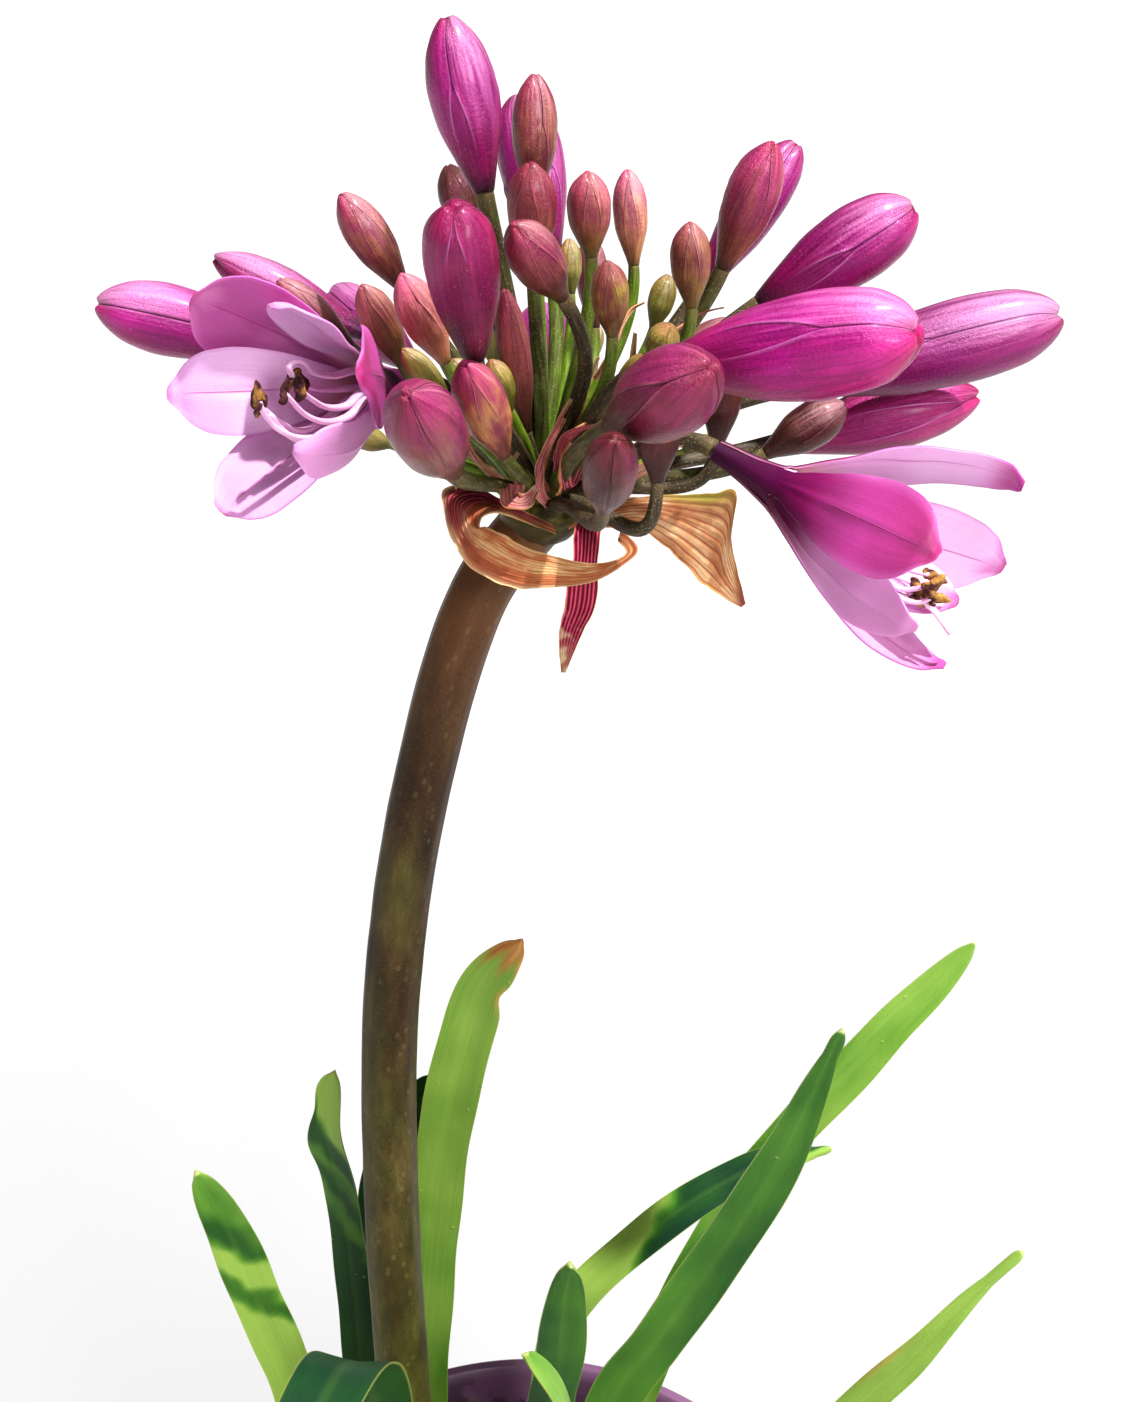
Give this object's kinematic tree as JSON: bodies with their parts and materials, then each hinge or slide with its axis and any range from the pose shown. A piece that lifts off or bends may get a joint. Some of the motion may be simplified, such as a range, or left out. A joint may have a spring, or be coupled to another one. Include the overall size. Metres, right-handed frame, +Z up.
{
  "type": "potted agapanthus plant",
  "caption": "Agapanthus in a nursery pot: bent flower stalk with an umbel of magenta buds and open trumpet flowers, dried bracts and arching strap leaves.",
  "frame": {"origin": "centre of the pot's flat underside", "axes": "+Z up; the picture looks along +Y and +X is to its right"},
  "size_m": [0.2432, 0.2146, 0.4708],
  "materials": {
    "pot": "satin",
    "soil": "matte",
    "scape": "satin",
    "bract": "matte",
    "flower": "satin",
    "leaf": "satin",
    "bud_ripe": "satin",
    "bud_half": "satin",
    "bud_young": "satin",
    "bud_dusk": "satin"
  },
  "bodies": {
    "root": {"pot": "pot", "soil": "soil", "scape": "scape", "bract_left": "bract", "bract_middle": "bract", "bract_right": "bract", "flower_left": "flower", "flower_right": "flower", "leaf_left": "leaf", "leaf_notched": "leaf", "leaf_tall": "leaf", "leaf_behind_scape": "leaf", "leaf_front_arch": "leaf", "leaf_front_short": "leaf", "leaf_edge_on": "leaf", "leaf_big_right": "leaf", "leaf_far_right": "leaf", "leaf_arched_right": "leaf", "leaf_low_right": "leaf", "leaf_trailing_left": "leaf", "leaf_trailing_right": "leaf", "leaf_trailing_front": "leaf", "leaf_trailing_near_left": "leaf", "bud_crown": "bud_ripe", "bud_left_magenta": "bud_ripe", "bud_behind_top_pink": "bud_ripe", "bud_top_brown": "bud_half", "bud_top_front_brown": "bud_half", "bud_s_stalk": "bud_half", "bud_dark_back": "bud_dusk", "bud_left_high": "bud_half", "bud_left_brown": "bud_young", "bud_mid_cone": "bud_half", "bud_left_pink": "bud_young", "bud_front_left_ball": "bud_half", "bud_front_left_orange": "bud_half", "bud_far_left": "bud_ripe", "bud_left_upper": "bud_ripe", "bud_left_upper_front": "bud_half", "bud_right_top": "bud_half", "bud_right_top_back": "bud_ripe", "bud_right_small": "bud_young", "bud_mid_small": "bud_young", "bud_mid_pink": "bud_half", "bud_mid_green": "bud_young", "bud_pink_back": "bud_half", "bud_right_upper": "bud_ripe", "bud_fore_giant": "bud_ripe", "bud_right_giant": "bud_ripe", "bud_right_dark": "bud_ripe", "bud_right_brown": "bud_half", "bud_brown_under": "bud_dusk", "bud_front_violet": "bud_half", "bud_front_ball": "bud_dusk", "bud_cone_hidden": "bud_dusk", "bud_back_ripe": "bud_ripe", "bud_back_ripe_left": "bud_ripe", "bud_back_half_right": "bud_half", "bud_back_half_low": "bud_half"}
  },
  "joints": []
}
